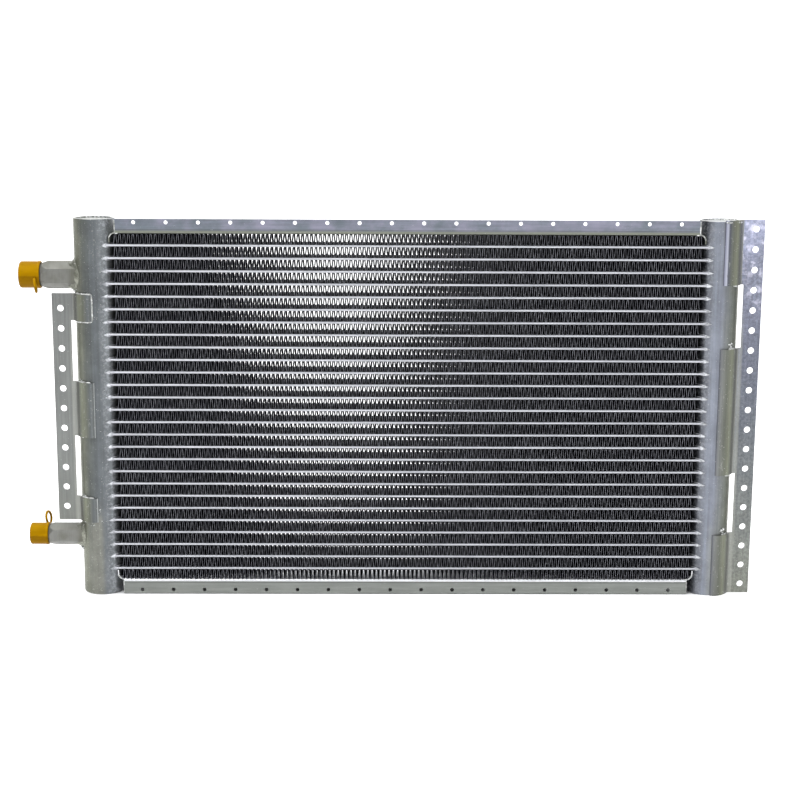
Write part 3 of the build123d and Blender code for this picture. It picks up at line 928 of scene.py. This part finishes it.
def turned(build, port, profile):
    """A closed form turned about a port's axis, from (distance from the cap's mouth, radius) points."""
    mouth = cap_mouth(port)
    rings = []
    for step in range(ROUND_STEPS):
        turn = 2 * math.pi * step / ROUND_STEPS
        y, z = math.cos(turn), math.sin(turn)
        ring = [(mouth - along, AXIS_Y + radius * y, port["z"] + radius * z) for along, radius in profile]
        rings.append(ring)
    build.rings(rings, closed=True)


def cap_profile(port):
    """The cap's wall as a closed loop: collar, tapered body, rounded end, inside."""
    length, radius = port["cap_length"], port["cap_radius"]
    body = radius - 0.22 * MM
    hub = 0.02 * MM
    points = [(0.0, port["cavity"] + 0.3 * MM), (0.0, radius - 0.35 * MM), (0.3 * MM, radius - 0.02 * MM)]
    points += [(CAP_COLLAR - 0.3 * MM, radius - 0.02 * MM), (CAP_COLLAR, body)]
    for step in range(7):
        turn = math.pi / 2 * step / 6
        points.append((length - CAP_EDGE * (1 - math.sin(turn)), body - CAP_EDGE * (1 - math.cos(turn))))
    points += [(length, radius * 0.62), (length - 0.4 * MM, radius * 0.56), (length - 0.4 * MM, hub)]
    inner = length - CAP_WALL
    points += [(inner, hub), (inner, port["cavity"]), (0.4 * MM, port["cavity"])]
    return points


def pull_loop(build, port):
    """The ring that stands off the side of the cap, near its open end."""
    angle = math.radians(port["loop_angle"])
    twist = math.radians(port["loop_twist"])
    lean = math.radians(port["loop_lean"])
    outward = Vector((0, -math.cos(angle), math.sin(angle)))
    around = Vector((0, math.sin(angle), math.cos(angle)))
    axis = Vector((-1, 0, 0))
    reach = port["cap_radius"] + LOOP_RADIUS + LOOP_WIRE - LOOP_BITE
    centre = Vector((cap_mouth(port) - 2 * LOOP_WIRE, AXIS_Y, port["z"])) + outward * reach
    flat = around * math.cos(twist) + axis * math.sin(twist)
    upright = axis * math.cos(twist) - around * math.sin(twist)
    spoke_out = outward * math.cos(lean) - upright * math.sin(lean)
    normal = upright * math.cos(lean) + outward * math.sin(lean)
    rings = []
    for step in range(48):
        turn = 2 * math.pi * step / 48
        spoke = spoke_out * math.cos(turn) + flat * math.sin(turn)
        ring = []
        for part in range(12):
            bend = 2 * math.pi * part / 12
            across = spoke * (LOOP_RADIUS + LOOP_WIRE * math.cos(bend))
            ring.append(centre + across + normal * (LOOP_WIRE * math.sin(bend)))
        rings.append(ring)
    build.rings(rings, closed=True)


def mould_seam(build, port):
    """The thin parting line that runs along the cap's front and back."""
    radius = port["cap_radius"] - 0.2 * MM
    for front in (-1, 1):
        route = []
        for step in range(12):
            along = CAP_COLLAR + (port["cap_length"] - CAP_COLLAR - CAP_EDGE) * step / 11
            route.append((cap_mouth(port) - along, AXIS_Y + front * radius, port["z"]))
        bead(build, random.Random(SEED), route, 0.14 * MM, 0.0, 8)


def port_cap(name, port):
    build = Build()
    turned(build, port, cap_profile(port))
    pull_loop(build, port)
    mould_seam(build, port)
    body = name + "_cap"
    made = piece(body + "_moulding", build.vertices, build.faces, (PLASTIC,), body)
    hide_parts(name + "_port_cap")


# Studio


def floor_material():
    """A pale floor that glows faintly, except right under the cooler, where the glow is cut off as a painted
    shadow.
    """
    look = Look("studio_floor", 0.0, 0.9)
    look.colour(FLOOR_COLOUR)
    look.shader.inputs["Emission Color"].default_value = (1.0, 1.0, 1.0, 1.0)
    # Painted shadow: the glow is taken away under the core, between the headers.
    depth = look.stripe(look.axis("Y"), CORE_FRONT - MM, CORE_FRONT, CORE_BACK, CORE_BACK + MM)
    from_middle = look.math("ABSOLUTE", look.axis("X"), 0.0)
    under = look.math("MULTIPLY", depth, look.band(from_middle, HEADER_X, HEADER_X - HEADER_RADIUS))
    glow = look.band(under, 0.0, 1.0, FLOOR_GLOW, 0.0)
    look.join(glow, look.shader.inputs["Emission Strength"])
    return look.material


def studio_floor():
    """A floor that curves up into the wall behind; not part of the object."""
    half_width, front, back, curve, top = 5.0, -4.0, 2.4, 1.0, 4.0
    level = cad_low.z - 0.05 * MM
    profile = [(front, level)]
    for step in range(17):
        turn = math.pi / 2 * step / 16
        profile.append((back + curve * math.sin(turn), level + curve * (1 - math.cos(turn))))
    profile.append((back + curve, top))
    vertices = [(x, y, z) for y, z in profile for x in (-half_width, half_width)]
    faces = [(2 * i, 2 * i + 1, 2 * i + 3, 2 * i + 2) for i in range(len(profile) - 1)]
    mesh = bpy.data.meshes.new("studio_floor")
    mesh.from_pydata(vertices, [], faces)
    mesh.polygons.foreach_set("use_smooth", [True] * len(faces))
    mesh.materials.append(floor_material())
    made = bpy.data.objects.new("studio_floor", mesh)
    bpy.context.scene.collection.objects.link(made)


def soft_light(name, place, target, size, power):
    """A rectangular area lamp that points at a target."""
    lamp = bpy.data.lights.new(name, "AREA")
    lamp.shape = "RECTANGLE"
    lamp.size, lamp.size_y = size
    lamp.energy = power
    made = bpy.data.objects.new(name, lamp)
    bpy.context.scene.collection.objects.link(made)
    made.location = place
    made.rotation_euler = (Vector(target) - Vector(place)).to_track_quat("-Z", "Y").to_euler()


def studio_lights():
    """A room that is bluish above and creamy below, with one main light overhead and to the left."""
    world = bpy.data.worlds.new("studio")
    bpy.context.scene.world = world
    world.use_nodes = True
    tree = world.node_tree
    split = tree.nodes.new("ShaderNodeSeparateXYZ")
    tree.links.new(tree.nodes.new("ShaderNodeTexCoord").outputs["Generated"], split.inputs["Vector"])
    ramp = tree.nodes.new("ShaderNodeValToRGB")
    ramp.color_ramp.elements[0].position = 0.0
    ramp.color_ramp.elements[0].color = (0.96, 0.96, 0.86, 1.0)
    ramp.color_ramp.elements[1].position = 0.5
    ramp.color_ramp.elements[1].color = (0.90, 0.94, 1.0, 1.0)
    tree.links.new(split.outputs["Z"], ramp.inputs["Fac"])
    tree.links.new(ramp.outputs["Color"], tree.nodes["Background"].inputs["Color"])
    tree.nodes["Background"].inputs["Strength"].default_value = 0.5
    soft_light("key", (-1.0, -1.3, 2.4), (0, 0, 0), (1.6, 1.6), 40)
    soft_light("overhead", (0, -0.1, 1.5), (0, 0, 0), (1.6, 0.9), 9)
    soft_light("fill", (1.8, -1.8, 1.0), (0, 0, 0), (1.5, 1.5), 16)
    soft_light("wall_wash", (0, 1.2, 2.6), (0, 2.6, 0.3), (3.5, 1.2), 60)


def camera():
    data = bpy.data.cameras.new("camera")
    data.lens = CAMERA_LENS
    data.sensor_width = 36
    data.shift_x, data.shift_y = CAMERA_SHIFT
    data.clip_start = 0.05
    data.clip_end = 50
    made = bpy.data.objects.new("camera", data)
    bpy.context.scene.collection.objects.link(made)
    turn = Euler((math.radians(90 - CAMERA_PITCH), 0, -math.radians(CAMERA_YAW))).to_matrix()
    turn = turn @ Matrix.Rotation(math.radians(CAMERA_ROLL), 3, "Z")
    made.matrix_world = Matrix.Translation(CAMERA_PLACE) @ turn.to_4x4()
    bpy.context.scene.camera = made


def dress(node, material):
    """Give a CAD node its material."""
    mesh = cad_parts[node].data
    mesh.materials.clear()
    mesh.materials.append(material)


def dress_cad():
    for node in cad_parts:
        if node.startswith("tube_"):
            dress(node, TUBE)
        elif node.startswith("fins_"):
            dress(node, FIN)
        elif node.endswith("side_plate"):
            dress(node, PLATE)
        elif node.endswith("o_ring"):
            dress(node, RUBBER)
        elif node.endswith("port_cap"):
            dress(node, PLASTIC)
        elif node.endswith("port_fitting"):
            dress(node, FITTING)
        elif node.endswith("bracket"):
            dress(node, LEFT_BRACKET if node.startswith("left") else RIGHT_BRACKET)
        else:
            dress(node, LEFT_HEADER if node.startswith("left") else RIGHT_HEADER)


def main():
    rng = random.Random(SEED)
    bpy.context.scene.view_settings.view_transform = "Standard"
    dress_cad()
    for node in sorted(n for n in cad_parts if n.startswith("fins_")):
        fin_pack(node, rng)
    tube_brazing("left", -1, rng, 0.75)
    tube_brazing("right", 1, rng, 0.5)
    header_rim("left", -1, rng, 0.9 * MM)
    header_rim("right", 1, rng, 1.2 * MM)
    port_welds(rng)
    left_bracket_welds(rng)
    right_bracket_welds(rng)
    for name in ("top_side_plate", "bottom_side_plate"):
        plate_edge_highlights_and_braze(name, rng)
    for name, port in PORTS.items():
        port_cap(name, port)
    studio_floor()
    studio_lights()
    camera()


main()
